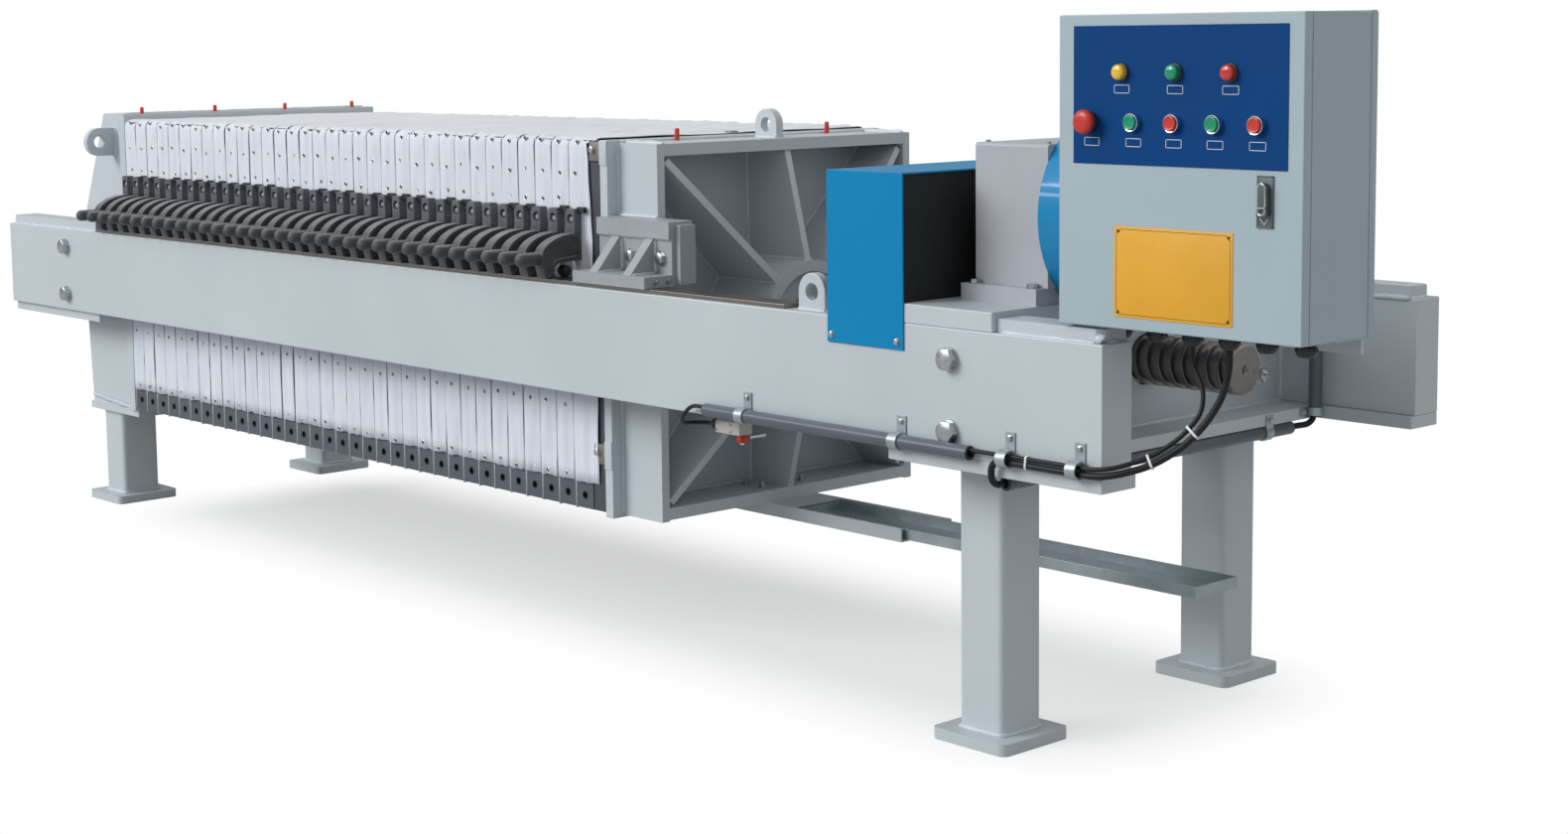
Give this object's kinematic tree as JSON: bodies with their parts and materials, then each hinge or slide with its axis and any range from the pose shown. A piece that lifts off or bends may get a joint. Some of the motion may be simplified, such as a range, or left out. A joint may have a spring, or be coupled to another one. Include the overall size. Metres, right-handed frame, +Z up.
{
  "type": "plate filter press",
  "caption": "Floor-standing plate filter press: box beams carry a clamped pack of cloth-covered plates between a thrust head and a screw-driven press head, with a control cabinet.",
  "frame": {"origin": "centre of the machine's length and width, at floor level", "axes": "+X along the beams towards the drive end, -Y towards the operator's side, +Z up"},
  "size_m": [4.437, 1.102, 1.312],
  "materials": {
    "frame_paint": "satin light grey machine paint",
    "stainless": "brushed stainless",
    "red_plastic": "gloss red",
    "green_plastic": "gloss green",
    "slate_plastic": "moulded polypropylene",
    "filter_cloth": "white woven filter cloth",
    "handle_plastic": "moulded dark grey",
    "blue_paint": "gloss blue",
    "cabinet_paint": "fine textured powder coat",
    "panel_blue": "satin dark blue",
    "amber_lens": "tinted lens",
    "chrome_ring": "polished",
    "black_plastic": "black nylon",
    "conduit_grey": "grey conduit",
    "zinc": "galvanised",
    "screw_steel": "machined steel"
  },
  "bodies": {
    "frame": {"near_left_leg": "frame_paint", "far_left_leg": "frame_paint", "near_right_leg": "frame_paint", "far_right_leg": "frame_paint", "near_beam": "frame_paint", "far_beam": "frame_paint", "slide_rails": "stainless", "beam_end_plates": "frame_paint", "sole_plate": "frame_paint", "thrust_head": "frame_paint", "feed_flange": "stainless", "thrust_head_plugs": "red_plastic", "filter_plates": "slate_plastic", "filter_cloths": "filter_cloth", "tail_plate": "slate_plastic", "near_handles": "handle_plastic", "far_handles": "handle_plastic", "crosshead": "frame_paint", "drive_platform": "frame_paint", "motor_cover": "blue_paint", "gearbox": "frame_paint", "drive_guard": "blue_paint", "drive_motor": "blue_paint", "cabinet_body": "cabinet_paint", "cabinet_bracket": "frame_paint", "cabinet_hinges": "cabinet_paint", "cable_glands": "black_plastic", "conduits": "conduit_grey", "conduit_clips": "zinc", "limit_switch": "black_plastic", "motor_cable": "black_plastic", "switch_cable": "black_plastic"},
    "press_head": {"press_plate": "frame_paint", "press_head_frame": "frame_paint", "press_head_plugs": "red_plastic", "near_shoe": "frame_paint", "far_shoe": "frame_paint", "tray_bracket": "frame_paint", "drip_tray": "zinc", "press_screw": "screw_steel"},
    "cabinet_door": {"cabinet_door": "cabinet_paint", "operator_panel": "panel_blue", "indicator_lamps": "amber_lens", "button_bezels": "chrome_ring", "latch_plate": "chrome_ring"},
    "latch_lever": {"latch_lever": "chrome_ring"},
    "emergency_stop": {"emergency_stop": "red_plastic"},
    "press_start_button": {"press_start_button": "green_plastic"},
    "press_stop_button": {"press_stop_button": "red_plastic"},
    "return_start_button": {"return_start_button": "green_plastic"},
    "return_stop_button": {"return_stop_button": "red_plastic"},
    "switch_lever": {"switch_lever": "red_plastic"}
  },
  "joints": [
    {"name": "press_head_slide", "type": "slide", "parent": "frame", "child": "press_head", "axis": [1, 0, 0], "range_m": [0, 0.38]},
    {"name": "cabinet_door_hinge", "type": "hinge", "parent": "frame", "child": "cabinet_door", "pos_m": [1.7322, -0.4795, 1.059], "axis": [0, 0, -1], "range_deg": [0, 110]},
    {"name": "latch_lever_hinge", "type": "hinge", "parent": "cabinet_door", "child": "latch_lever", "pos_m": [2.1505, -0.5083, 1.002], "axis": [1, 0, 0], "range_deg": [0, 35]},
    {"name": "emergency_stop_press", "type": "slide", "parent": "cabinet_door", "child": "emergency_stop", "axis": [0, 1, 0], "range_m": [0, 0.004]},
    {"name": "press_start_press", "type": "slide", "parent": "cabinet_door", "child": "press_start_button", "axis": [0, 1, 0], "range_m": [0, 0.004], "stiffness_N_per_m": 300},
    {"name": "press_stop_press", "type": "slide", "parent": "cabinet_door", "child": "press_stop_button", "axis": [0, 1, 0], "range_m": [0, 0.004], "stiffness_N_per_m": 300},
    {"name": "return_start_press", "type": "slide", "parent": "cabinet_door", "child": "return_start_button", "axis": [0, 1, 0], "range_m": [0, 0.004], "stiffness_N_per_m": 300},
    {"name": "return_stop_press", "type": "slide", "parent": "cabinet_door", "child": "return_stop_button", "axis": [0, 1, 0], "range_m": [0, 0.004], "stiffness_N_per_m": 300},
    {"name": "switch_lever_hinge", "type": "hinge", "parent": "frame", "child": "switch_lever", "pos_m": [0.8725, -0.438, 0.5017], "axis": [0, 0, 1], "range_deg": [-40, 40], "stiffness_Nm_per_rad": 0.3}
  ]
}
